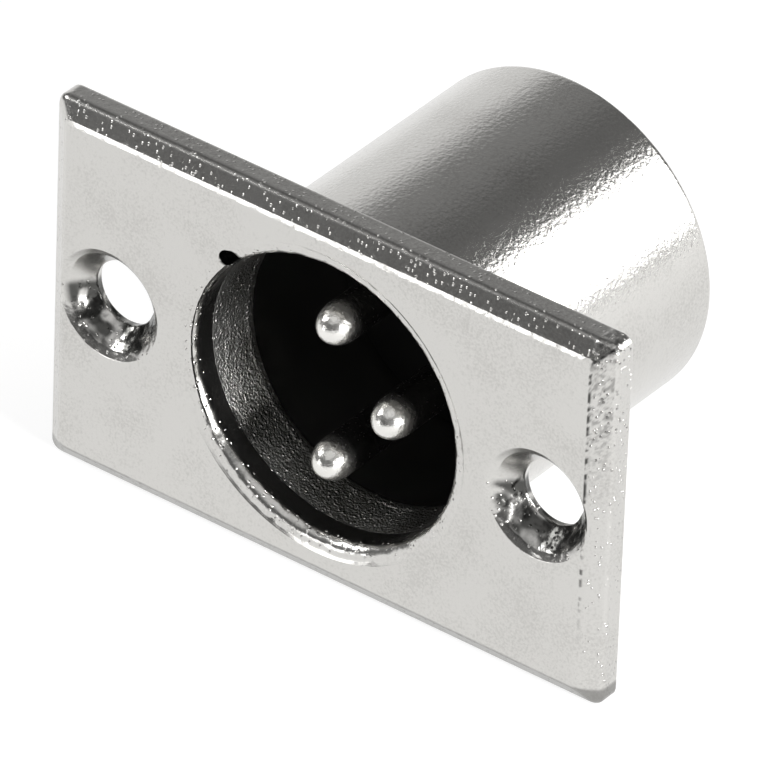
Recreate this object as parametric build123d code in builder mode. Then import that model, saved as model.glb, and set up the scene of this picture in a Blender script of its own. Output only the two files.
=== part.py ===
from build123d import *
from math import cos, radians, sin, sqrt
import os

# Three-pole male panel connector, sizes in millimetres.
# X runs along the flange, Y runs back along the barrel, Z is up.
# The origin is on the barrel axis, in the plane of the flange's back face.

# Flange
flange_width = 35.8
flange_height = 22.2
flange_thickness = 2.0
flange_corner = 0.6
bevel_on_face = 1.05
bevel_depth = 0.75
face_corner = 0.3

# Fixing holes: a steep cone with a flatter entry ring
hole_spacing = 27.6
hole_radius = 1.85
sink_radius = 3.25
sink_crease_radius = 2.85
sink_crease_depth = 0.28
sink_depth = 1.5

# Barrel and socket
barrel_radius = 9.5
barrel_wall = 1.05
barrel_length = 18.8
barrel_rear_chamfer = 0.4
mouth_round = 0.7
lip_width = 0.25
lip_drop = 0.12
groove_depth = 0.3
groove_start = 1.9
groove_length = 2.7
groove_slope = 0.15
groove_taper = 0.2
socket_depth = 12.6
seat_step = 0.2
rear_chamfer = 0.3

# Key slot along the bore, with a wider notch at the mouth
key_angle = 135.0
key_radius = 0.6
key_offset = 0.05
notch_radius = 0.6
notch_offset = 0.45
notch_depth = 1.9

# Contact layout, seen from the front
base_pin_x = -0.12
base_pin_z = 4.19
side_pin_x = 3.57

# Contact pins
pin_radius = 1.1
pin_recess = 0.2
root_radius = 1.35
collar_radius = 1.6
collar_length = 1.2
cup_radius = 1.35
cup_bore = 0.95
cup_depth = 4.2
cup_open_length = 3.2
cup_rear = 4.0

# Insert
fit_gap = 0.05
rear_recess = 0.6
boss_radius = 1.9
boss_height = 0.5
front_web = 1.6
insert_edge = 0.3

# Earth tag
tag_thickness = 0.4
tag_width = 2.4
tag_channel_depth = 0.7
tag_start = 1.0
tag_bow_length = 4.0
tag_bend = 0.8
tag_rear = 4.6
tag_eye_radius = 1.6
tag_eye_hole = 0.7

# Insert screw, entering the barrel from below
screw_radius = 1.2
screw_head_radius = 2.05
screw_head_drop = 0.25
screw_length = 2.9
screw_from_rear = 3.8
screw_slot_width = 0.5
screw_slot_depth = 0.4
screw_head_edge = 0.1

# Places that follow from the sizes above
face_y = -flange_thickness
seat_y = face_y + socket_depth
insert_rear_y = barrel_length - rear_recess
seat_radius = barrel_radius - barrel_wall
bore_radius = seat_radius - seat_step
insert_radius = seat_radius - fit_gap
lip_radius = bore_radius + mouth_round
mouth_radius = lip_radius + lip_width
lip_y = face_y + lip_drop
groove_radius = bore_radius + groove_depth
groove_front_y = face_y + groove_start
groove_back_y = groove_front_y + groove_length
root_y = seat_y - boss_height
collar_y = seat_y + front_web
screw_y = barrel_length - screw_from_rear
screw_top_z = -barrel_radius + screw_head_drop
screw_cone = screw_head_radius - screw_radius
front_plane = Plane.XZ.offset(flange_thickness)
screw_plane = Plane(origin=(0, screw_y, -barrel_radius), x_dir=(1, 0, 0), z_dir=(0, 0, -1))
pin_places = {
    "pin_1": (base_pin_x, base_pin_z),
    "pin_2": (base_pin_x, -base_pin_z),
    "pin_3": (side_pin_x, 0),
}
key_direction = (cos(radians(key_angle)), sin(radians(key_angle)))
key_centre = bore_radius + key_offset
notch_centre = bore_radius + notch_offset
key_place = (key_centre * key_direction[0], key_centre * key_direction[1])
notch_place = (notch_centre * key_direction[0], notch_centre * key_direction[1])

os.makedirs("parts", exist_ok=True)

# Shell: flange and barrel cast in one piece
with BuildPart() as shell:
    with BuildSketch(Plane.XZ):
        RectangleRounded(flange_width, flange_height, flange_corner)
    extrude(amount=flange_thickness - bevel_depth)

    # Bevelled front edges
    with BuildSketch(Plane.XZ.offset(flange_thickness - bevel_depth)):
        RectangleRounded(flange_width, flange_height, flange_corner)
    with BuildSketch(front_plane):
        RectangleRounded(flange_width - 2 * bevel_on_face, flange_height - 2 * bevel_on_face, face_corner)
    loft()

    # Barrel with its chamfered rear edge
    with BuildSketch(Plane.XZ):
        Circle(barrel_radius)
    extrude(amount=-barrel_length)
    rear_edges = shell.edges().filter_by(GeomType.CIRCLE).group_by(Axis.Y)[-1]
    chamfer(rear_edges, length=barrel_rear_chamfer)

    # Socket: rounded mouth, latch groove with a tapered floor, and the wider seat for the insert
    with BuildSketch(Plane.XY):
        with BuildLine():
            Polyline((lip_radius, lip_y), (mouth_radius, face_y), (0, face_y), (0, barrel_length))
            Polyline(
                (0, barrel_length),
                (seat_radius + rear_chamfer, barrel_length),
                (seat_radius, barrel_length - rear_chamfer),
                (seat_radius, seat_y),
                (bore_radius, seat_y),
                (bore_radius, groove_back_y),
                (groove_radius - groove_taper, groove_back_y - groove_slope),
                (groove_radius, groove_front_y + groove_slope),
                (bore_radius, groove_front_y),
                (bore_radius, lip_y + mouth_round),
            )
            CenterArc((lip_radius, lip_y + mouth_round), mouth_round, 180, 90)
        make_face()
    revolve(axis=Axis.Y, mode=Mode.SUBTRACT)

    # Key slot and its notch at the mouth
    with BuildSketch(front_plane):
        with Locations(key_place):
            Circle(key_radius)
    extrude(amount=-(flange_thickness + barrel_length), mode=Mode.SUBTRACT)
    with BuildSketch(front_plane):
        with Locations(notch_place):
            Circle(notch_radius)
    extrude(amount=-notch_depth, mode=Mode.SUBTRACT)

    # Countersunk fixing holes, the second one a mirror of the first
    for side in (-1, 1):
        hole_x = side * hole_spacing / 2
        with BuildSketch(Plane.XY):
            with BuildLine():
                Polyline(
                    (hole_x, face_y),
                    (hole_x + sink_radius, face_y),
                    (hole_x + sink_crease_radius, face_y + sink_crease_depth),
                    (hole_x + hole_radius, face_y + sink_depth),
                    (hole_x + hole_radius, 0),
                    (hole_x, 0),
                    close=True,
                )
            make_face()
        revolve(axis=Axis((hole_x, 0, 0), (0, 1, 0)), mode=Mode.SUBTRACT)

    # Countersunk hole for the insert screw
    with Locations(screw_plane):
        CounterSinkHole(
            radius=screw_radius + fit_gap,
            counter_sink_radius=screw_head_radius + screw_head_drop + screw_head_edge + fit_gap,
            depth=barrel_radius - bore_radius + fit_gap,
            counter_sink_angle=90,
        )

shell.part.label = "shell"
export_step(shell.part, "parts/shell.step")

# Insert: moulded body that carries the three contacts
with BuildPart() as insert:
    with BuildSketch(Plane.XZ.offset(-seat_y)):
        Circle(insert_radius)
    extrude(amount=-(insert_rear_y - seat_y))
    rear_rim = insert.edges().filter_by(GeomType.CIRCLE).group_by(Axis.Y)[-1]
    chamfer(rear_rim, length=insert_edge)

    # Low bosses round the pins on the socket floor
    with BuildSketch(Plane.XZ.offset(-seat_y)):
        with Locations(*pin_places.values()):
            Circle(boss_radius)
    extrude(amount=boss_height)

    # Rib that fills the key slot behind the socket floor
    with BuildSketch(Plane.XZ.offset(-seat_y)):
        with Locations(key_place):
            Circle(key_radius - fit_gap)
    extrude(amount=-(insert_rear_y - seat_y))

    # Stepped contact cavities: shaft hole in front, collar seat and cup space behind
    with BuildSketch(Plane.XZ.offset(boss_height - seat_y)):
        with Locations(*pin_places.values()):
            Circle(root_radius + fit_gap)
    extrude(amount=-(boss_height + front_web), mode=Mode.SUBTRACT)
    with BuildSketch(Plane.XZ.offset(-collar_y)):
        with Locations(*pin_places.values()):
            Circle(collar_radius + fit_gap)
    extrude(amount=-(insert_rear_y - collar_y), mode=Mode.SUBTRACT)

    # Channel for the earth tag on the side away from the side pin
    with BuildSketch(Plane.XZ.offset(-(seat_y + tag_start))):
        with Locations((-insert_radius, 0)):
            Rectangle(2 * tag_channel_depth, tag_width + 2 * fit_gap)
    extrude(amount=-(insert_rear_y - seat_y - tag_start), mode=Mode.SUBTRACT)

    # Blind hole for the screw
    with BuildSketch(Plane.XY.offset(-barrel_radius)):
        with Locations((0, screw_y)):
            Circle(screw_radius + fit_gap)
    extrude(amount=screw_head_drop + screw_length + fit_gap, mode=Mode.SUBTRACT)

insert.part.label = "insert"
export_step(insert.part, "parts/insert.step")


def make_pin(name, place):
    """One turned contact: round nose, shaft, collar and open solder cup."""
    x, z = place
    nose_y = face_y + pin_recess + pin_radius
    rear_y = barrel_length + cup_rear
    with BuildPart() as pin:
        with BuildSketch(Plane.XY):
            with BuildLine():
                CenterArc((x, nose_y), pin_radius, -90, 90)
                Polyline(
                    (x + pin_radius, nose_y),
                    (x + pin_radius, root_y),
                    (x + root_radius, root_y),
                    (x + root_radius, collar_y),
                    (x + collar_radius, collar_y),
                    (x + collar_radius, collar_y + collar_length),
                    (x + cup_radius, collar_y + collar_length),
                    (x + cup_radius, rear_y),
                    (x + cup_bore, rear_y),
                    (x + cup_bore, rear_y - cup_depth),
                    (x, rear_y - cup_depth),
                    (x, nose_y - pin_radius),
                )
            make_face()
        revolve(axis=Axis((x, 0, 0), (0, 1, 0)))

        # The upper half of the cup is cut away for the wire
        with BuildSketch(Plane.XZ.offset(-(rear_y - cup_open_length))):
            with Locations((x, cup_radius)):
                Rectangle(2 * collar_radius, 2 * cup_radius)
        extrude(amount=-cup_open_length, mode=Mode.SUBTRACT)
    pin.part.label = name
    placed = Pos(0, 0, z) * pin.part
    placed.label = name
    export_step(placed, f"parts/{name}.step")


for pin_name, pin_place in pin_places.items():
    make_pin(pin_name, pin_place)

# Earth tag: a strip bowed out against the barrel wall, with an eye behind the barrel
tag_inner_x = -(insert_radius - tag_channel_depth) - tag_thickness / 2
tag_wall_x = -sqrt(seat_radius**2 - (tag_width / 2) ** 2)
tag_outer_x = tag_wall_x + fit_gap + tag_thickness / 2
tag_front_y = seat_y + tag_start + fit_gap
tag_bow_y = tag_front_y + tag_bow_length / 2
tag_eye_y = barrel_length + tag_rear
with BuildPart() as earth_tag:
    with BuildSketch(Plane.XY):
        with BuildLine():
            FilletPolyline(
                (tag_inner_x, tag_front_y),
                (tag_outer_x, tag_bow_y),
                (tag_inner_x, tag_bow_y + tag_bow_length / 2),
                (tag_inner_x, tag_eye_y),
                radius=tag_bend,
            )
        trace(line_width=tag_thickness)
    extrude(amount=tag_width / 2, both=True)
    with BuildSketch(Plane.YZ.offset(tag_inner_x)):
        with Locations((tag_eye_y, 0)):
            Circle(tag_eye_radius)
    extrude(amount=tag_thickness / 2, both=True)
    with BuildSketch(Plane.YZ.offset(tag_inner_x)):
        with Locations((tag_eye_y, 0)):
            Circle(tag_eye_hole)
    extrude(amount=tag_thickness, both=True, mode=Mode.SUBTRACT)

earth_tag.part.label = "earth_tag"
export_step(earth_tag.part, "parts/earth_tag.step")

# Insert screw: slotted countersunk head, built along its axis
with BuildPart() as insert_screw:
    with BuildSketch(Plane.YZ):
        with BuildLine():
            Polyline(
                (screw_y, screw_top_z),
                (screw_y + screw_head_radius, screw_top_z),
                (screw_y + screw_head_radius, screw_top_z + screw_head_edge),
                (screw_y + screw_radius, screw_top_z + screw_head_edge + screw_cone),
                (screw_y + screw_radius, screw_top_z + screw_length),
                (screw_y, screw_top_z + screw_length),
                close=True,
            )
        make_face()
    revolve(axis=Axis((0, screw_y, 0), (0, 0, 1)))
    with BuildSketch(Plane.XY.offset(screw_top_z)):
        with Locations((0, screw_y)):
            Rectangle(screw_slot_width, 2 * screw_head_radius)
    extrude(amount=screw_slot_depth, mode=Mode.SUBTRACT)

insert_screw.part.label = "insert_screw"
export_step(insert_screw.part, "parts/insert_screw.step")
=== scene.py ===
import bpy
import bmesh
from math import ceil, cos, hypot, pi, radians, sin, tan
from mathutils import Matrix, Vector, noise


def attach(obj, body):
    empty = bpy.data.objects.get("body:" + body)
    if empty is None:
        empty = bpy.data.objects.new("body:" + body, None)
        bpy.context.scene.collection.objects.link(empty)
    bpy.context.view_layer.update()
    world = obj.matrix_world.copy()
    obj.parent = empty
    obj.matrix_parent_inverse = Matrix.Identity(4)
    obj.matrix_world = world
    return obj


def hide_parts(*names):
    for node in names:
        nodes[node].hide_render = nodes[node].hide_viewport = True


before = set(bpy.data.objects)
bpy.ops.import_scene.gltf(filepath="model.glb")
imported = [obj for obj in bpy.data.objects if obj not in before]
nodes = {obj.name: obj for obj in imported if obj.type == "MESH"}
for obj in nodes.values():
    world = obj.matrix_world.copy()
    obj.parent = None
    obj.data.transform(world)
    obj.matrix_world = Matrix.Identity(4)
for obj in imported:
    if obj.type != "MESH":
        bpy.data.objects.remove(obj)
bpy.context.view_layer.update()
mm = 0.001
weld = 0.0005 * mm  # points closer than this are one
scene = bpy.context.scene
print("frame loaded:", sorted(nodes))


# Profiles and meshes

def runPoints(a, b, step):
    # even points from a up to, but without, b
    count = max(1, round(hypot(b[0] - a[0], b[1] - a[1]) / step))
    return [(a[0] + (b[0] - a[0]) * i / count, a[1] + (b[1] - a[1]) * i / count) for i in range(count)]


def roundedPath(corners, step):
    # corners are (x, y) or (x, y, radius); the radius rounds that corner
    corners = [Vector((c[0], c[1], c[2] if len(c) > 2 else 0)) for c in corners]
    leastTurn = radians(0.6)
    points = []
    last = corners[0].xy
    for before, corner, after in zip(corners, corners[1:], corners[2:]):
        inward = (corner.xy - before.xy).normalized()
        outward = (after.xy - corner.xy).normalized()
        turn = inward.angle_signed(outward, 0)
        radius = corner.z
        if radius == 0 or abs(turn) < leastTurn:
            points += runPoints(last, corner.xy, step)
            last = corner.xy
            continue
        reach = radius * tan(abs(turn) / 2)
        start = corner.xy - inward * reach
        points += runPoints(last, start, step)
        # angle_signed counts clockwise as positive
        left = Vector((-inward.y, inward.x))
        centre = start + left * (-radius if turn > 0 else radius)
        count = max(2, ceil(radius * abs(turn) / step))
        spoke = start - centre
        for i in range(count):
            points.append(tuple(centre + Matrix.Rotation(-turn * i / count, 2) @ spoke))
        last = corner.xy + outward * reach
    points += runPoints(last, corners[-1].xy, step)
    return points + [tuple(corners[-1].xy)]


def lathe(profile, steps, centre=(0, 0)):
    # turns (radius, depth) points, in mm, about a line along Y through centre (x, z)
    bm = bmesh.new()
    verts = [bm.verts.new((r * mm, y * mm, 0)) for r, y in profile]
    edges = [bm.edges.new(pair) for pair in zip(verts, verts[1:])]
    bmesh.ops.spin(bm, geom=verts + edges, cent=(0, 0, 0), axis=(0, 1, 0), angle=2 * pi,
                   steps=steps, use_merge=True, use_duplicate=False)
    bmesh.ops.remove_doubles(bm, verts=bm.verts, dist=weld)
    bmesh.ops.translate(bm, vec=(centre[0] * mm, 0, centre[1] * mm), verts=bm.verts)
    bmesh.ops.recalc_face_normals(bm, faces=bm.faces)
    return bm


def rise(low, high, x):
    # 0 at low, 1 at high, smooth between
    t = min(1, max(0, (x - low) / (high - low)))
    return t * t * (3 - 2 * t)


def makeObject(name, bm):
    mesh = bpy.data.meshes.new(name)
    bm.to_mesh(mesh)
    bm.free()
    obj = bpy.data.objects.new(name, mesh)
    scene.collection.objects.link(obj)
    return obj


def combine(target, tools, operation):
    # exact booleans, with the result kept as the target's own mesh
    for tool in tools:
        modifier = target.modifiers.new("cut", "BOOLEAN")
        modifier.object = tool
        modifier.operation = operation
        modifier.solver = "EXACT"
    graph = bpy.context.evaluated_depsgraph_get()
    result = bpy.data.meshes.new_from_object(target.evaluated_get(graph))
    target.modifiers.clear()
    target.data = result
    for tool in tools:
        bpy.data.objects.remove(tool)


def smooth(obj, angle):
    # smooth shading, with edges kept where faces turn by more than the angle
    obj.data.polygons.foreach_set("use_smooth", [True] * len(obj.data.polygons))
    obj.data.set_sharp_from_angle(angle=radians(angle))


# Shell casting, in mm. The names in Past say how far a cutting tool stands out of the metal

shellSize = dict(
    # flange, and its edge from the back to the face: side, slope and narrow rim
    width=35.8, height=22.2, thickness=2.0, corner=0.6, cornerSteps=8, outlineStep=0.12,
    backEdgeRound=0.1, sideEdgeRound=0.5, bevelDepth=0.75, bevelOnFace=0.92, bevelEnd=0.1,
    edgeOnFace=1.17, faceEdgeRound=0.15, flatBand=0.45, slopeStep=0.09,
    # countersunk fixing holes
    holeSpacing=27.6, holeRadius=1.85, holeFlare=0.15, sinkRadius=3.25, sinkDepth=1.5, creaseRadius=2.85,
    creaseDepth=0.28, creaseRound=0.25, throatRound=0.12, sinkPast=0.3, sinkSteps=144, sinkStep=0.08,
    # barrel
    barrelRadius=9.5, barrelLength=18.8, rearRound=0.45, rearBand=1, rearStep=0.08, barrelSteps=288,
    barrelStep=0.6, overlap=0.3,
    # mouth of the socket: two-part lip, and a land worn on the left. wornSide is how far left, up to 1
    boreRadius=8.25, mouthRound=0.7, lipWidth=0.25, lipDrop=0.12, mouthPast=0.5, landWear=0.2,
    landFrom=(0.2, 0.4), landUpTo=0.12, wornSide=(0.5, 0.95),
    # latch groove
    grooveDepth=0.3, grooveStart=1.9, grooveLength=2.7, grooveSlope=0.15, grooveTaper=0.26,
    grooveFrontRound=0.06, grooveBackRound=0.1,
    # bore behind it, with the wider seat of the insert
    socketDepth=12.6, seatRadius=8.45, seatRound=0.05, rearChamfer=0.3, rearPast=0.3,
    socketSteps=360, socketStep=0.11, fineBand=0.5, boreStep=0.8,
    # key slot through the bore, and the wider notch at its mouth
    keyAngle=135, keyRadius=0.6, keyCentre=8.30, notchRadius=0.6, notchCentre=8.70, notchDepth=1.9,
    slotPast=1, slotEndRound=0.1, slotSteps=48, slotStep=0.15,
    # hole of the insert's screw
    screwRadius=1.25, screwHeadRadius=2.45, screwFromRear=3.8, screwPast=1, screwSteps=72, screwStep=0.3,
    smoothAngle=24)


def extendBeyond(a, b, length):
    # the point past b on the line from a
    reach = hypot(b[0] - a[0], b[1] - a[1])
    return (b[0] + (b[0] - a[0]) * length / reach, b[1] + (b[1] - a[1]) * length / reach)


def onKeyLine(distance):
    # x and z of the place on the key slot's line, that far from the axis
    angle = radians(shellSize["keyAngle"])
    return distance * cos(angle), distance * sin(angle)


def plateMesh():
    s = shellSize
    faceY = -s["thickness"]
    bm = bmesh.new()
    bmesh.ops.create_grid(bm, x_segments=1, y_segments=1, size=0.5)
    bmesh.ops.rotate(bm, cent=(0, 0, 0), matrix=Matrix.Rotation(pi / 2, 3, "X"), verts=bm.verts)
    bmesh.ops.scale(bm, vec=(s["width"] * mm, 1, s["height"] * mm), verts=bm.verts)
    bmesh.ops.bevel(bm, geom=bm.verts[:], offset=s["corner"] * mm, segments=s["cornerSteps"], profile=0.5,
                    affect="VERTICES", material=-1)
    bmesh.ops.delete(bm, geom=bm.faces[:], context="FACES_ONLY")
    # the two long sides are divided evenly, and then the two short ones
    for lengthwise in (True, False):
        side = [e for e in bm.edges if e.calc_length() > s["height"] / 2 * mm
                and (abs(e.verts[0].co.z - e.verts[1].co.z) < weld) == lengthwise]
        cuts = round(side[0].calc_length() / mm / s["outlineStep"])
        bmesh.ops.subdivide_edges(bm, edges=side, cuts=cuts)
    slope = roundedPath([
        (s["backEdgeRound"] * 2, 0), (0, 0, s["backEdgeRound"]),
        (0, faceY + s["bevelDepth"], s["sideEdgeRound"]),
        (s["bevelOnFace"], faceY + s["bevelEnd"], s["faceEdgeRound"]),
        (s["edgeOnFace"], faceY, s["faceEdgeRound"]),
        (s["edgeOnFace"] + s["flatBand"], faceY)], s["slopeStep"])
    # the outline is drawn forward and inward along the slope, ring by ring
    backRing = ring = bm.edges[:]
    inset, depth = 0, 0
    for count, (nextInset, nextDepth) in enumerate(slope):
        if count > 0:
            drawn = bmesh.ops.extrude_edge_only(bm, edges=ring)["geom"]
            drawnVerts = {g for g in drawn if isinstance(g, bmesh.types.BMVert)}
            ring = [g for g in drawn if isinstance(g, bmesh.types.BMEdge) and drawnVerts.issuperset(g.verts)]
        verts = list({v for e in ring for v in e.verts})
        bmesh.ops.scale(bm, verts=verts, vec=((s["width"] - 2 * nextInset) / (s["width"] - 2 * inset), 1,
                                              (s["height"] - 2 * nextInset) / (s["height"] - 2 * inset)))
        bmesh.ops.translate(bm, vec=(0, (nextDepth - depth) * mm, 0), verts=verts)
        inset, depth = nextInset, nextDepth
    bmesh.ops.contextual_create(bm, geom=ring)
    bmesh.ops.contextual_create(bm, geom=backRing)
    bmesh.ops.recalc_face_normals(bm, faces=bm.faces)
    return bm


def barrelMesh():
    s = shellSize
    radius, length = s["barrelRadius"], s["barrelLength"]
    side = runPoints((radius, -s["overlap"]), (radius, length - s["rearBand"]), s["barrelStep"])
    rear = roundedPath([(radius, length - s["rearBand"]), (radius, length, s["rearRound"]),
                        (radius - s["rearRound"] * 2, length)], s["rearStep"])
    return lathe([(0, -s["overlap"])] + side + rear + [(0, length)], s["barrelSteps"])


def socketMesh():
    s = shellSize
    faceY = -s["thickness"]
    bore, seat = s["boreRadius"], s["seatRadius"]
    lip = (bore + s["mouthRound"], faceY + s["lipDrop"])
    rim = (lip[0] + s["lipWidth"], faceY)
    start = extendBeyond(lip, rim, s["mouthPast"])
    grooveR = bore + s["grooveDepth"]
    grooveFront, grooveBack = faceY + s["grooveStart"], faceY + s["grooveStart"] + s["grooveLength"]
    fineEnd = grooveBack + s["fineBand"]
    seatY = faceY + s["socketDepth"]
    front = roundedPath([
        start, lip, (bore, lip[1], s["mouthRound"]), (bore, grooveFront, s["grooveFrontRound"]),
        (grooveR, grooveFront + s["grooveSlope"], s["grooveFrontRound"]),
        (grooveR - s["grooveTaper"], grooveBack - s["grooveSlope"], s["grooveBackRound"]),
        (bore, grooveBack, s["grooveBackRound"]), (bore, fineEnd)], s["socketStep"])
    rearIn = (seat, s["barrelLength"] - s["rearChamfer"])
    rearOut = (seat + s["rearChamfer"], s["barrelLength"])
    back = roundedPath([
        (bore, fineEnd), (bore, seatY, s["seatRound"]), (seat, seatY, s["seatRound"]),
        rearIn, extendBeyond(rearIn, rearOut, s["rearPast"])], s["boreStep"])
    end = back[-1]
    bm = lathe([(0, start[1])] + front + back[1:] + [(0, end[1])], s["socketSteps"])
    # the land in front of the groove is worn a little wider on the left
    for v in bm.verts:
        x, y, z = v.co / mm
        worn = rise(*s["landFrom"], y - faceY) * rise(s["landUpTo"], 0, y - grooveFront)
        if worn > 0 and x < 0:
            v.co.x -= s["landWear"] * worn * rise(*s["wornSide"], -x / hypot(x, z)) * mm
    return bm


def sinkMesh(side):
    s = shellSize
    faceY = -s["thickness"]
    rim = (s["sinkRadius"], faceY)
    crease = (s["creaseRadius"], faceY + s["creaseDepth"])
    throat = (s["holeRadius"], faceY + s["sinkDepth"])
    back = (s["holeRadius"] + s["holeFlare"], 0)
    start = extendBeyond(crease, rim, s["sinkPast"])
    end = extendBeyond(throat, back, s["sinkPast"])
    wall = roundedPath([start, (*crease, s["creaseRound"]), (*throat, s["throatRound"]), end], s["sinkStep"])
    return lathe([(0, start[1])] + wall + [(0, end[1])], s["sinkSteps"], (side * s["holeSpacing"] / 2, 0))


def slotMesh(radius, distance, depth):
    # a round slot along the bore, on the key's line
    s = shellSize
    start, end = -s["thickness"] - s["slotPast"], -s["thickness"] + depth
    corners = [(0, start), (radius, start), (radius, end, s["slotEndRound"]), (0, end)]
    return lathe(roundedPath(corners, s["slotStep"]), s["slotSteps"], onKeyLine(distance))


def screwHoleMesh():
    # modelled along Y, then turned to point up through the wall from below
    s = shellSize
    cone = s["screwHeadRadius"] - s["screwRadius"]
    top = s["barrelRadius"] - s["boreRadius"] + s["screwPast"]
    wall = [(0, -s["screwPast"]), (s["screwHeadRadius"] + s["screwPast"], -s["screwPast"]),
            (s["screwRadius"], cone), (s["screwRadius"], top), (0, top)]
    bm = lathe(roundedPath(wall, s["screwStep"]), s["screwSteps"])
    bmesh.ops.rotate(bm, cent=(0, 0, 0), matrix=Matrix.Rotation(pi / 2, 3, "X"), verts=bm.verts)
    place = (0, (s["barrelLength"] - s["screwFromRear"]) * mm, -s["barrelRadius"] * mm)
    bmesh.ops.translate(bm, vec=place, verts=bm.verts)
    return bm


# The finish of the casting, place by place: rough goes to the bump, and painted shade darkens the colour.
# push is how far the lumps go in and out, and lump how wide they are, in mm, with finer ones on them of
# finerShare that size.
# Names in From and UpTo fade in and out with the depth behind the face, and names in Z with the height.
castPlan = dict(
    flatRough=0.1, flat=0.002, backMargin=0.001, finerShare=0.45, finerPlace=(7, 3, 1),
    notch=dict(margin=0.05, behindFace=0.03, rough=0.5, paintedShade=1),
    socket=dict(
        radius=9.4, depth=5, push=0.03, lump=0.5, pushFrom=(0, 0.15), pushUpTo=(1.2, 0.8),
        lipRough=1.6, lipFrom=(0.03, 0.2), lipUpTo=(1.2, 0.7),
        grooveRough=5, groovePaintedShade=0.5, grooveFrom=(1.8, 2.0)),
    sink=dict(
        margin=0.05, push=0.05, lump=0.55, pushFrom=(0, 0.2), pushUpTo=(1.7, 1.4),
        rough=0.3, lowerRough=0.9, lowerZ=(0.3, -0.2),
        paintedShade=0.95, paintedShadeFrom=(0.1, 0.4), spotSize=0.8, spotPlace=(2, 5, 1), spots=(-0.35, 0.05),
        moreSpots=0.35, moreZ=(-1.5, 0), rimPaintedShade=0.45, rimFrom=(0, 0.1), rimZ=(1.2, 2.6)),
    edge=dict(
        rimDepth=0.2, rimPush=0.02, rimLump=0.3, push=0.003, lump=0.9, pushUpTo=(2.0, 1.7),
        rough=1, tilt=(0.02, 0.12), rightRough=3, rightInset=(1.4, 1.1), rightZ=(0, 8),
        rightPaintedShade=0.5, sideInset=0.1, spotSize=0.22, spots=(-0.1, 0.35),
        lowerPaintedShade=0.55, lowerZ=(-9.9, -10.1), lowerFrom=(0, 0.1)),
    barrel=dict(
        radius=9, rough=0.3, push=0.002, lump=0.9, pushFrom=(2.0, 2.5), grainFrom=(2.002, 2.3),
        grainRadius=(9, 9.2)),
    crease=dict(
        depth=0.6, width=(0.112, 0.028), spotSize=0.3, spots=(-0.25, 0.15),
        lowerZ=(-8, -1), upperZ=(10.0, 9.7)),
    mitre=dict(
        paintedShade=0.95, sideInset=0.1, width=(0.135, 0.036)))


def lumps(co, size, place=(0, 0, 0)):
    # steady noise between -1 and 1
    return noise.noise(co / (size * mm) + Vector(place))


def socketFinish(depth):
    k = castPlan["socket"]
    inGroove = rise(*k["grooveFrom"], depth)
    onLip = rise(*k["lipFrom"], depth) * rise(*k["lipUpTo"], depth)
    push = k["push"] * rise(*k["pushFrom"], depth) * rise(*k["pushUpTo"], depth)
    # the groove's colour is darkened with painted shade
    return k["lipRough"] * onLip + k["grooveRough"] * inGroove, k["groovePaintedShade"] * inGroove, push, k["lump"]


def sinkFinish(co, depth, z):
    # the lower half of each countersink is lumpy, with dark patches of painted shade, and the upper rim has a
    # little painted shade
    k = castPlan["sink"]
    lower = rise(*k["lowerZ"], z)
    spot = lumps(co, k["spotSize"], k["spotPlace"]) + k["moreSpots"] * rise(*k["moreZ"], z)
    paintedShade = k["paintedShade"] * lower * rise(*k["spots"], spot) * rise(*k["paintedShadeFrom"], depth)
    rimPaintedShade = k["rimPaintedShade"] * rise(*k["rimZ"], z) * rise(*k["rimFrom"], depth)
    push = k["push"] * rise(*k["pushFrom"], depth) * rise(*k["pushUpTo"], depth) * lower
    return k["rough"] + k["lowerRough"] * lower, max(paintedShade, rimPaintedShade), push, k["lump"]


def edgeFinish(co, depth, z, inset, tilt):
    # the sides and slopes round the flange, roughest high on the right slope, with dark spots of painted
    # shade there and painted shade along the lower one
    k = castPlan["edge"]
    right = rise(*k["rightInset"], inset) * rise(*k["rightZ"], z)
    rough = k["rough"] * rise(*k["tilt"], tilt) * (1 + k["rightRough"] * right)
    rightPaintedShade = k["rightPaintedShade"] * right * rise(*k["spots"], lumps(co, k["spotSize"]))
    lowerPaintedShade = k["lowerPaintedShade"] * rise(*k["lowerZ"], z) * rise(*k["lowerFrom"], depth)
    paintedShade = max(rightPaintedShade, lowerPaintedShade) if inset > k["sideInset"] else lowerPaintedShade
    push, lump = (k["rimPush"], k["rimLump"]) if depth < k["rimDepth"] else (k["push"], k["lump"])
    return rough, paintedShade, push * rise(*k["pushUpTo"], depth), lump


def barrelFinish(depth):
    k = castPlan["barrel"]
    return k["rough"], 0, k["push"] * rise(*k["pushFrom"], depth), k["lump"]


def creasePaintedShade(co, depth, z, inset):
    # painted shade, dark and dotted, beside the right slope
    k = castPlan["crease"]
    if depth > k["depth"]:
        return 0
    near = rise(*k["width"], abs(inset - shellSize["edgeOnFace"]))
    return near * rise(*k["spots"], lumps(co, k["spotSize"])) * rise(*k["lowerZ"], z) * rise(*k["upperZ"], z)


def mitrePaintedShade(depth, z, inset):
    # a dark line of painted shade where the upper slope meets the right one
    s, k = shellSize, castPlan["mitre"]
    if depth > s["bevelDepth"] or not k["sideInset"] < inset < s["edgeOnFace"]:
        return 0
    return k["paintedShade"] * rise(*k["width"], abs(inset - (s["height"] / 2 - z)))


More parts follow.
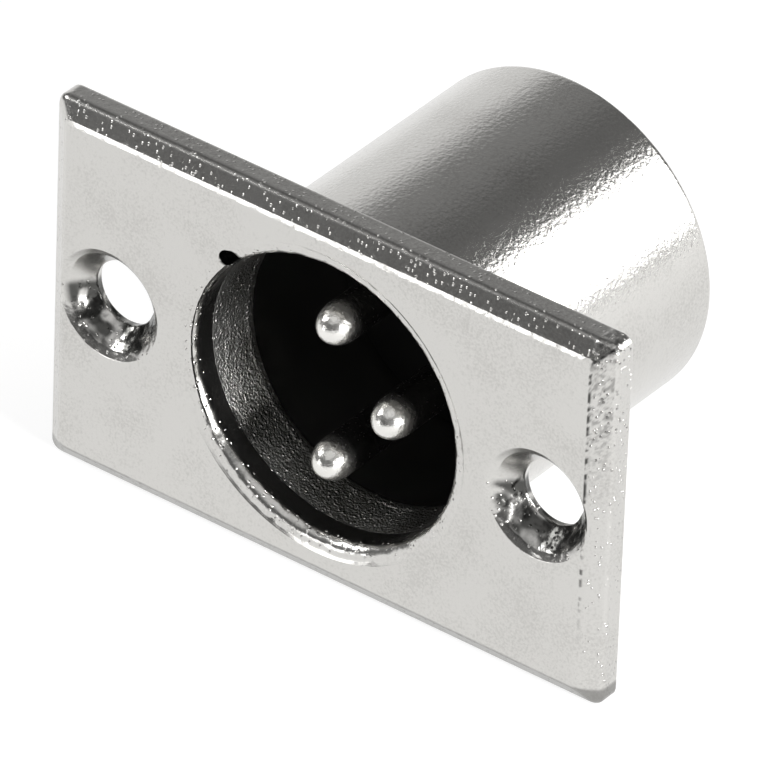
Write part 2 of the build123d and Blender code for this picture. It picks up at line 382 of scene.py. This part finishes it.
def finishCasting(bm):
    # pushes the lumps in and out, and stores what the nickel reads at each point: "cast", how rough it is,
    # "grain", 1 on the barrel, and the third layer, the painted shade: how dark it is
    s, c = shellSize, castPlan
    layers = [bm.verts.layers.float.new(name) for name in ("cast", "grain", "paintedShade")]
    notchX, notchZ = onKeyLine(s["notchCentre"])
    bm.normal_update()
    for v in bm.verts:
        x, y, z = v.co / mm
        depth = y + s["thickness"]
        axisR = hypot(x, z)
        inset = s["width"] / 2 - x
        inNotch = hypot(x - notchX, z - notchZ) < s["notchRadius"] + c["notch"]["margin"]
        inSink = hypot(abs(x) - s["holeSpacing"] / 2, z) < s["sinkRadius"] + c["sink"]["margin"]
        onFace, onBack, behind = depth < c["flat"], abs(y) < c["flat"], y > c["backMargin"]
        rough, paintedShade, push, lump = 0, 0, 0, 1
        # the walls of the key notch are painted black: painted shade
        if inNotch and depth > c["notch"]["behindFace"]:
            rough, paintedShade = c["notch"]["rough"], c["notch"]["paintedShade"]
        elif axisR < c["socket"]["radius"] and depth < c["socket"]["depth"]:
            rough, paintedShade, push, lump = socketFinish(depth)
        elif inSink and y <= 0:
            rough, paintedShade, push, lump = sinkFinish(v.co, depth, z)
        elif not behind and not onFace:
            rough, paintedShade, push, lump = edgeFinish(v.co, depth, z, inset, 1 - abs(v.normal.y))
        elif behind and axisR > c["barrel"]["radius"]:
            rough, paintedShade, push, lump = barrelFinish(depth)
        # both flat sides are even, and the back has no painted shade
        if onFace or onBack:
            rough, push = c["flatRough"], 0
        if onBack:
            paintedShade = 0
        grain = rise(*c["barrel"]["grainFrom"], depth) * rise(*c["barrel"]["grainRadius"], axisR)
        paintedShade = max(paintedShade, creasePaintedShade(v.co, depth, z, inset), mitrePaintedShade(depth, z, inset))
        for layer, value in zip(layers, (rough, grain, paintedShade)):
            v[layer] = value
        if push > 0:
            share = c["finerShare"]
            height = lumps(v.co, lump) + share * lumps(v.co, lump * share, c["finerPlace"])
            v.co += v.normal * height * push * mm


def makeShell():
    s = shellSize
    casting = makeObject("shell_casting", plateMesh())
    combine(casting, [makeObject("barrelTool", barrelMesh())], "UNION")
    throughAll = s["thickness"] + s["barrelLength"] + s["slotPast"]
    tools = [socketMesh(), sinkMesh(-1), sinkMesh(1),
             slotMesh(s["notchRadius"], s["notchCentre"], s["notchDepth"]),
             slotMesh(s["keyRadius"], s["keyCentre"], throughAll), screwHoleMesh()]
    combine(casting, [makeObject("cutTool", bm) for bm in tools], "DIFFERENCE")
    bm = bmesh.new()
    bm.from_mesh(casting.data)
    bmesh.ops.remove_doubles(bm, verts=bm.verts, dist=2 * weld)
    finishCasting(bm)
    bm.to_mesh(casting.data)
    bm.free()
    smooth(casting, s["smoothAngle"])
    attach(casting, "root")
    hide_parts("shell")
    return casting


print("shell casting")
shell = makeShell()
print("shell has", len(shell.data.vertices), "points")


# Contact pins, in mm from the nose in the socket to the solder cup behind

pinSize = dict(
    places=dict(pin_1=(-0.12, 4.19), pin_2=(-0.12, -4.19), pin_3=(3.57, 0)),
    radius=1.15, recess=0.2, noseLength=1.5, noseSteps=20, root=1.35, rootY=10.1,
    collar=1.6, collarY=12.2, collarLength=1.2,
    cup=1.35, cupBore=0.95, cupDepth=4.2, drillPoint=0.5, rear=22.8,
    cupOpen=3.2, cupOpenRound=0.6, cupOpenSteps=8, cutter=4,
    edge=0.08, steps=96, step=0.12, smoothAngle=35)


def makePin(name, place):
    p = pinSize
    noseY = -shellSize["thickness"] + p["recess"]
    collarEnd = p["collarY"] + p["collarLength"]
    drillEnd = p["rear"] - p["cupDepth"]
    e = p["edge"]
    angles = [pi / 2 * i / p["noseSteps"] for i in range(p["noseSteps"])]
    nose = [(p["radius"] * sin(a), noseY + p["noseLength"] * (1 - cos(a))) for a in angles]
    profile = nose + roundedPath([
        (p["radius"], noseY + p["noseLength"]), (p["radius"], p["rootY"], e), (p["root"], p["rootY"], e),
        (p["root"], p["collarY"]), (p["collar"], p["collarY"], e), (p["collar"], collarEnd, e),
        (p["cup"], collarEnd, e), (p["cup"], p["rear"], e), (p["cupBore"], p["rear"], e),
        (p["cupBore"], drillEnd), (0, drillEnd + p["drillPoint"])], p["step"])
    pin = makeObject(name + "_contact", lathe(profile, p["steps"], place))
    # the upper half of the cup is cut away for the wire
    cutter = bmesh.new()
    bmesh.ops.create_cube(cutter, size=1)
    cutterSize = (p["cutter"] * mm, 2 * p["cupOpen"] * mm, p["cutter"] * mm)
    bmesh.ops.scale(cutter, vec=cutterSize, verts=cutter.verts)
    across = [edge for edge in cutter.edges if abs(edge.verts[0].co.x - edge.verts[1].co.x) > weld]
    bmesh.ops.bevel(cutter, geom=across, offset=p["cupOpenRound"] * mm, segments=p["cupOpenSteps"],
                    profile=0.5, affect="EDGES", material=-1)
    cutterPlace = (place[0] * mm, p["rear"] * mm, (place[1] + p["cutter"] / 2) * mm)
    bmesh.ops.translate(cutter, vec=cutterPlace, verts=cutter.verts)
    combine(pin, [makeObject("cupTool", cutter)], "DIFFERENCE")
    smooth(pin, p["smoothAngle"])
    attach(pin, "root")
    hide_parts(name)
    return pin


print("contact pins")
pins = [makePin(name, place) for name, place in pinSize["places"].items()]


# Materials

class Link:
    # one output of a node; sums on it become Math nodes
    def __init__(self, tree, socket=None):
        self.tree = tree
        self.socket = socket

    def node(self, kind, settings=None, inputs=None, output=0):
        made = self.tree.nodes.new(kind)
        for name, value in (settings or {}).items():
            setattr(made, name, value)
        for name, value in (inputs or {}).items():
            if isinstance(value, Link):
                self.tree.links.new(value.socket, made.inputs[name])
            else:
                made.inputs[name].default_value = value
        return Link(self.tree, made.outputs[output] if made.outputs else None)

    def output(self, name):
        # another output of the same node
        return Link(self.tree, self.socket.node.outputs[name])

    def maths(self, operation, first, second):
        return self.node("ShaderNodeMath", dict(operation=operation), {0: first, 1: second})

    def __add__(self, other):
        return self.maths("ADD", self, other)

    def __radd__(self, other):
        return self.maths("ADD", other, self)

    def __sub__(self, other):
        return self.maths("SUBTRACT", self, other)

    def __rsub__(self, other):
        return self.maths("SUBTRACT", other, self)

    def __mul__(self, other):
        return self.maths("MULTIPLY", self, other)

    def __rmul__(self, other):
        return self.maths("MULTIPLY", other, self)

    def step(self, low, high):
        # 0 below low, 1 above high, smooth between
        return self.node("ShaderNodeMapRange", dict(interpolation_type="SMOOTHSTEP"),
                         {"Value": self, "From Min": low, "From Max": high})

    def noise(self, size, detail=2.0, place=(0, 0, 0)):
        # size is one lump's width in mm; place moves the pattern, so that two noises differ
        moved = self.node("ShaderNodeMapping", None, {"Vector": self, "Location": place})
        return self.node("ShaderNodeTexNoise", None,
                         {"Vector": moved, "Scale": 1 / (size * mm), "Detail": detail})

    def blend(self, dark, light):
        # self is the factor; sockets 6 and 7 and output 2 are the node's colours
        return self.node("ShaderNodeMix", dict(data_type="RGBA"), {"Factor": self, 6: dark, 7: light}, 2)


def newMaterial(name):
    material = bpy.data.materials.new(name)
    material.use_nodes = True
    tree = material.node_tree
    tree.nodes.clear()
    start = Link(tree)
    here = start.node("ShaderNodeTexCoord", output="Object")
    return material, start, here


def finishMaterial(start, height=None, distance=0.01, strength=1.0, **inputs):
    # height is the bump and distance its depth in mm; other names are the shader's own, with _ for a space
    named = {name.replace("_", " "): value for name, value in inputs.items()}
    if height is not None:
        named["Normal"] = start.node("ShaderNodeBump", None,
                                     {"Height": height, "Distance": distance * mm, "Strength": strength})
    shader = start.node("ShaderNodeBsdfPrincipled", None, named)
    start.node("ShaderNodeOutputMaterial", None, {"Surface": shader})


# sizes are in mm; the pairs are where something fades from none to full
# the near-black colour in this list is where the painted shade takes the nickel
nickelLook = dict(
    light=(0.605, 0.596, 0.575, 1), dark=(0.52, 0.51, 0.49, 1), paintedShade=(0.055, 0.055, 0.052, 1),
    cloudSize=3.5, cloudShare=0.4, tint=(0.3, 0.55), roughness=0.22, roughVary=0.08, grooveRoughness=0.16,
    pitSize=0.14, pitHeight=0.12, groovePits=0.4, waveSize=0.5, waveHeight=0.4, grainSize=0.24,
    grainHeight=0.8, noduleSize=0.3, noduleWidth=0.32, noduleHeight=1.3, grooveNodules=0.6,
    filledCells=(0.2, 0.3), nodulesFrom=(0.5, 0.95), grooveFrom=(4.2, 5), leastHeight=0.06, bumpDepth=0.03)


def nickel():
    k = nickelLook
    material, start, here = newMaterial("satin_nickel")
    cast, grain, paintedShade = [start.node("ShaderNodeAttribute", dict(attribute_name=name), output="Fac")
                          for name in ("cast", "grain", "paintedShade")]
    pits = here.noise(k["pitSize"], 3)
    wave = here.noise(k["waveSize"], 2, (0.3, 0.1, 0.2))
    cloud = here.noise(k["cloudSize"], 2, (0.1, 0.5, 0.2))
    barrelGrain = here.noise(k["grainSize"], 2, (0.7, 0.2, 0.4))
    # small raised nodules left by the casting, in some of the cells only
    cell = start.node("ShaderNodeTexVoronoi", dict(feature="F1"),
                      {"Vector": here, "Scale": 1 / (k["noduleSize"] * mm)})
    chance = start.node("ShaderNodeSeparateColor", None, {"Color": cell.output("Color")})
    nodule = (1 - cell.step(0, k["noduleWidth"])) * chance.step(*k["filledCells"]) * k["noduleHeight"]
    inGroove = cast.step(*k["grooveFrom"])
    nodule = nodule * cast.step(*k["nodulesFrom"]) * (1 - inGroove * k["grooveNodules"])
    height = pits * (k["pitHeight"] + inGroove * k["groovePits"]) + wave * k["waveHeight"] + nodule
    height = height * (k["leastHeight"] + cast * (1 - k["leastHeight"]))
    height = height + barrelGrain * grain * k["grainHeight"]
    tint = (pits * (1 - k["cloudShare"]) + cloud * k["cloudShare"]).step(*k["tint"])
    # the painted shade layer blends the colour towards near black
    finishMaterial(start, height, k["bumpDepth"],
                   Base_Color=paintedShade.blend(tint.blend(k["dark"], k["light"]), k["paintedShade"]), Metallic=1.0,
                   Roughness=k["roughness"] + (pits - 0.5) * k["roughVary"] + inGroove * k["grooveRoughness"])
    return material


mouldingLook = dict(
    light=(0.009, 0.009, 0.009, 1), dark=(0.004, 0.004, 0.004, 1), grainSize=0.12, grainDepth=0.01,
    grainStrength=0.5, roughness=0.55, roughVary=0.1, gloss=0.15)


def moulding():
    k = mouldingLook
    material, start, here = newMaterial("black_moulding")
    grain = here.noise(k["grainSize"], 2)
    finishMaterial(start, grain, k["grainDepth"], k["grainStrength"],
                   Base_Color=grain.blend(k["dark"], k["light"]),
                   Roughness=k["roughness"] + grain * k["roughVary"], Specular_IOR_Level=k["gloss"])
    return material


tinLook = dict(light=(0.76, 0.75, 0.73, 1), dark=(0.60, 0.59, 0.57, 1), roughness=0.28)
zincLook = dict(light=(0.70, 0.70, 0.71, 1), dark=(0.55, 0.55, 0.56, 1), roughness=0.25)
platedLook = dict(grainSize=0.1, cloudSize=0.8, roughVary=0.08, grainDepth=0.01)


def plated(name, look):
    # plain plating on the small parts behind
    k = platedLook | look
    material, start, here = newMaterial(name)
    grain = here.noise(k["grainSize"], 3)
    cloud = here.noise(k["cloudSize"], 2)
    finishMaterial(start, grain * 0.5 + cloud * 0.5, k["grainDepth"],
                   Base_Color=cloud.blend(k["dark"], k["light"]), Metallic=1.0,
                   Roughness=k["roughness"] + grain * k["roughVary"])
    return material


# where along the pin, in mm, the painted shade on the shaft fades in (From to To), and where it fades out
# again (End, over Fade)
contactLook = dict(
    light=(0.84, 0.83, 0.80, 1), dark=(0.70, 0.69, 0.66, 1), paintedShaftShade=(0.2, 0.195, 0.19, 1),
    paintedShaftShadeFrom=-0.35, paintedShaftShadeTo=0.15, paintedShaftShadeEnd=11.5, paintedShaftShadeFade=1, roughness=0.22, roughVary=0.08,
    grainSize=0.22, cloudSize=0.5, grainDepth=0.05)


def contact():
    # silver, bright on the nose and in the cup, with painted shade along the shaft inside the socket
    k = contactLook
    material, start, here = newMaterial("silvered_contact")
    grain = here.noise(k["grainSize"], 2)
    cloud = here.noise(k["cloudSize"], 2)
    along = start.node("ShaderNodeSeparateXYZ", None, {"Vector": here}, "Y")
    paintedShaftShade = (along.step(k["paintedShaftShadeFrom"] * mm, k["paintedShaftShadeTo"] * mm)
            - along.step(k["paintedShaftShadeEnd"] * mm, (k["paintedShaftShadeEnd"] + k["paintedShaftShadeFade"]) * mm))
    tint = paintedShaftShade.blend(cloud.blend(k["dark"], k["light"]), k["paintedShaftShade"])
    finishMaterial(start, grain * 0.5 + cloud * 0.5, k["grainDepth"], Base_Color=tint, Metallic=1.0,
                   Roughness=k["roughness"] + grain * k["roughVary"])
    return material


def dress(obj, material):
    obj.data.materials.clear()
    obj.data.materials.append(material)


print("materials")
dress(shell, nickel())
contactMaterial = contact()
for pin in pins:
    dress(pin, contactMaterial)
dress(nodes["insert"], moulding())
dress(nodes["earth_tag"], plated("tinned_strip", tinLook))
dress(nodes["insert_screw"], plated("zinc_screw", zincLook))


# Floor and lights

studio = dict(
    floorZ=-11.15, floorSize=3.0, floorColour=(0.32, 0.32, 0.319, 1), floorRoughness=0.8, floorGlow=0.8,
    base=0.115, distance=0.6)
# softboxes: direction from the part, width and height in metres, radiance
softboxes = dict(
    key=((0.62, 0.66, 0.36), 0.26, 0.34, 6.0),
    frontLeft=((-0.74, -0.34, 0.58), 0.17, 0.17, 10.0),
    lowLeft=((-0.53, -0.84, 0.09), 0.2, 0.14, 3.5),
    right=((0.93, -0.22, 0.22), 0.12, 0.14, 80.0))
# soft glows on the studio walls: direction, inner and outer angle, radiance
glows = dict(
    backLeft=((-0.78, 0.62, 0.08), 0, 33, 0.8),
    backHigh=((-0.487, 0.663, 0.569), 5, 30, 0.14),
    over=((0.1, -0.35, 0.93), 12, 40, 0.7),
    back=((0.123, 0.663, 0.74), 10, 45, 0.03))


def makeFloor():
    bm = bmesh.new()
    bmesh.ops.create_grid(bm, x_segments=1, y_segments=1, size=studio["floorSize"] / 2)
    bmesh.ops.translate(bm, vec=(0, 0, studio["floorZ"] * mm), verts=bm.verts)
    floor = makeObject("studio_floor", bm)
    material, start, here = newMaterial("pale_floor")
    finishMaterial(start, Base_Color=studio["floorColour"], Roughness=studio["floorRoughness"],
                   Emission_Color=(1, 1, 1, 1), Emission_Strength=studio["floorGlow"])
    dress(floor, material)


def softbox(name, direction, width, height, radiance):
    light = bpy.data.lights.new(name, "AREA")
    light.shape = "RECTANGLE"
    light.size = width
    light.size_y = height
    light.energy = radiance * pi * width * height
    obj = bpy.data.objects.new(name, light)
    scene.collection.objects.link(obj)
    direction = Vector(direction).normalized()
    obj.location = direction * studio["distance"]
    obj.rotation_euler = direction.to_track_quat("Z", "Y").to_euler()


def makeWorld():
    world = bpy.data.worlds.new("studio")
    world.use_nodes = True
    scene.world = world
    tree = world.node_tree
    tree.nodes.clear()
    start = Link(tree)
    direction = start.node("ShaderNodeTexCoord", output="Generated")
    shade = studio["base"]
    for towards, inner, outer, radiance in glows.values():
        facing = start.node("ShaderNodeVectorMath", dict(operation="DOT_PRODUCT"),
                            {0: direction, 1: Vector(towards).normalized()}, "Value")
        shade = shade + facing.step(cos(radians(outer)), cos(radians(inner))) * radiance
    glow = start.node("ShaderNodeBackground", None, {"Color": shade, "Strength": 1.0})
    start.node("ShaderNodeOutputWorld", None, {"Surface": glow})


print("studio")
makeFloor()
for name, plan in softboxes.items():
    softbox(name, *plan)
makeWorld()
scene.view_settings.view_transform = "Standard"


# Camera: angles in degrees, its distance in metres, and where it aims, in mm from the middle of the face

cameraPlan = dict(azimuth=36.4, elevation=34.7, roll=2.16, distance=0.7, aimRight=3.0, aimUp=1.37,
                  lens=652.0, sensor=36, clipStart=0.05)


def placeCamera():
    c = cameraPlan
    a, e, r = radians(c["azimuth"]), radians(c["elevation"]), radians(c["roll"])
    back = Vector((sin(a) * cos(e), -cos(a) * cos(e), sin(e)))
    right = Vector((cos(a), sin(a), 0))
    up = back.cross(right)
    turned = Matrix.Rotation(r, 3, back)
    aim = Vector((0, -shellSize["thickness"] * mm, 0)) + right * c["aimRight"] * mm + up * c["aimUp"] * mm
    axes = Matrix((turned @ right, turned @ up, back)).transposed()
    camera = bpy.data.objects.new("camera", bpy.data.cameras.new("camera"))
    scene.collection.objects.link(camera)
    camera.matrix_world = Matrix.Translation(aim + back * c["distance"]) @ axes.to_4x4()
    camera.data.lens = c["lens"]
    camera.data.sensor_width = c["sensor"]
    camera.data.clip_start = c["clipStart"]
    scene.camera = camera


placeCamera()

print("done")
